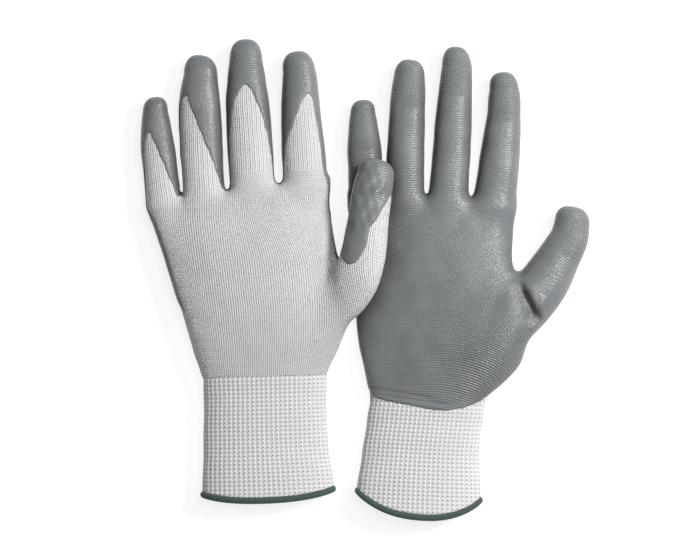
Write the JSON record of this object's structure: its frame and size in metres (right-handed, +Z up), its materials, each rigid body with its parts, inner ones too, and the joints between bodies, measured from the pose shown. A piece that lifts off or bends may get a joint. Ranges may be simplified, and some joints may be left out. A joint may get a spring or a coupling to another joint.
{
  "type": "pair of work gloves",
  "caption": "Pair of knitted work gloves with dipped palms and fingertips, rib-knit elastic cuffs and overlocked hems, lying flat, one back up and one palm up.",
  "frame": {"origin": "centre of the pair's footprint, on the surface that the gloves lie on", "axes": "+X across the pair from the left glove to the right glove, +Y towards the fingertips, +Z up from the surface"},
  "size_m": [0.2378, 0.2552, 0.0352],
  "materials": {
    "knit_liner": "fine knit, matt white",
    "rib_cuff": "rib knit, matt white",
    "nitrile_coating": "semi-gloss dipped film, grey",
    "overlock_thread": "overlock stitching, dark green",
    "elastic_yarn": "covered elastic yarn, pale grey"
  },
  "bodies": {
    "right_glove": {"right_liner_hand": "knit_liner", "right_coating_palm": "nitrile_coating", "right_cuff": "rib_cuff", "right_cuff_elastic": "elastic_yarn", "right_hem_overlock": "overlock_thread"},
    "left_glove": {"left_liner_hand": "knit_liner", "left_coating_palm": "nitrile_coating", "left_cuff": "rib_cuff", "left_cuff_elastic": "elastic_yarn", "left_hem_overlock": "overlock_thread"},
    "right_index_finger": {"right_liner_index": "knit_liner", "right_coating_index": "nitrile_coating"},
    "right_middle_finger": {"right_liner_middle": "knit_liner", "right_coating_middle": "nitrile_coating"},
    "right_ring_finger": {"right_liner_ring": "knit_liner", "right_coating_ring": "nitrile_coating"},
    "right_little_finger": {"right_liner_little": "knit_liner", "right_coating_little": "nitrile_coating"},
    "right_thumb": {"right_liner_thumb": "knit_liner", "right_coating_thumb": "nitrile_coating"},
    "left_index_finger": {"left_liner_index": "knit_liner", "left_coating_index": "nitrile_coating"},
    "left_middle_finger": {"left_liner_middle": "knit_liner", "left_coating_middle": "nitrile_coating"},
    "left_ring_finger": {"left_liner_ring": "knit_liner", "left_coating_ring": "nitrile_coating"},
    "left_little_finger": {"left_liner_little": "knit_liner", "left_coating_little": "nitrile_coating"},
    "left_thumb": {"left_liner_thumb": "knit_liner", "left_coating_thumb": "nitrile_coating"}
  },
  "joints": [
    {"name": "left_glove_lift_off", "type": "slide", "parent": "right_glove", "child": "left_glove", "axis": [0, 0, 1], "range_m": [0, 0.12]},
    {"name": "right_index_finger_bend", "type": "hinge", "parent": "right_glove", "child": "right_index_finger", "pos_m": [0.0685, 0.04382, 0.01963], "axis": [0.9953, -0.0971, 0], "range_deg": [0, 75], "stiffness_Nm_per_rad": 0.03},
    {"name": "right_middle_finger_bend", "type": "hinge", "parent": "right_glove", "child": "right_middle_finger", "pos_m": [0.04431, 0.04592, 0.0195], "axis": [0.9986, -0.0537, 0], "range_deg": [0, 75], "stiffness_Nm_per_rad": 0.03},
    {"name": "right_ring_finger_bend", "type": "hinge", "parent": "right_glove", "child": "right_ring_finger", "pos_m": [0.02105, 0.04628, 0.01796], "axis": [0.9981, -0.0624, 0], "range_deg": [0, 38], "stiffness_Nm_per_rad": 0.03},
    {"name": "right_little_finger_bend", "type": "hinge", "parent": "right_glove", "child": "right_little_finger", "pos_m": [0.0006, 0.04224, 0.01569], "axis": [0.999, 0.044, 0], "range_deg": [0, 12], "stiffness_Nm_per_rad": 0.03},
    {"name": "right_thumb_bend", "type": "hinge", "parent": "right_glove", "child": "right_thumb", "pos_m": [0.09508, -0.00043, 0.02288], "axis": [0.8517, -0.5241, 0], "range_deg": [0, 50], "stiffness_Nm_per_rad": 0.03},
    {"name": "left_index_finger_bend", "type": "hinge", "parent": "left_glove", "child": "left_index_finger", "pos_m": [-0.03167, 0.05211, 0.0184], "axis": [0.9965, 0.083, 0], "range_deg": [0, 35], "stiffness_Nm_per_rad": 0.03},
    {"name": "left_middle_finger_bend", "type": "hinge", "parent": "left_glove", "child": "left_middle_finger", "pos_m": [-0.05961, 0.05149, 0.01879], "axis": [0.9963, 0.0861, 0], "range_deg": [0, 35], "stiffness_Nm_per_rad": 0.03},
    {"name": "left_ring_finger_bend", "type": "hinge", "parent": "left_glove", "child": "left_ring_finger", "pos_m": [-0.08602, 0.0483, 0.01798], "axis": [0.9993, 0.0384, 0], "range_deg": [0, 35], "stiffness_Nm_per_rad": 0.03},
    {"name": "left_little_finger_bend", "type": "hinge", "parent": "left_glove", "child": "left_little_finger", "pos_m": [-0.10685, 0.04328, 0.01651], "axis": [0.9931, 0.117, 0], "range_deg": [0, 35], "stiffness_Nm_per_rad": 0.03},
    {"name": "left_thumb_bend", "type": "hinge", "parent": "left_glove", "child": "left_thumb", "pos_m": [-0.00027, 0.01805, 0.03516], "axis": [0.9864, -0.1644, 0], "range_deg": [0, 30], "stiffness_Nm_per_rad": 0.03}
  ]
}
